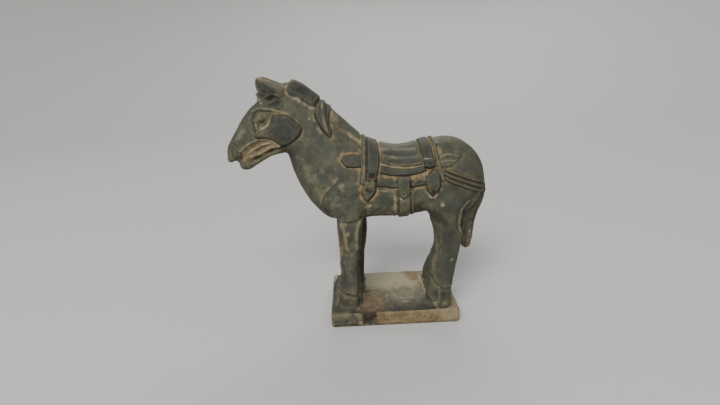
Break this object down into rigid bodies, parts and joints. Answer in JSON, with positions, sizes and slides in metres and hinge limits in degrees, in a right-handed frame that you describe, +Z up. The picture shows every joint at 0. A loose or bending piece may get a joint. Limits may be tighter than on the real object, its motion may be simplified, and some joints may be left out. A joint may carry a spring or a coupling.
{
  "type": "terracotta horse figure",
  "caption": "Small moulded terracotta war horse standing saddled on a rectangular plinth, with girth, straps, crupper, cropped mane and tail in low relief.",
  "frame": {"origin": "centre of the plinth's underside", "axes": "+Z up, the horse faces -X, its near (left) side is -Y"},
  "size_m": [0.1928, 0.068, 0.1843],
  "materials": {
    "terracotta": "unglazed, grey-green slip rubbed back to brown clay"
  },
  "bodies": {
    "root": {"horse_on_plinth": "terracotta"}
  },
  "joints": []
}
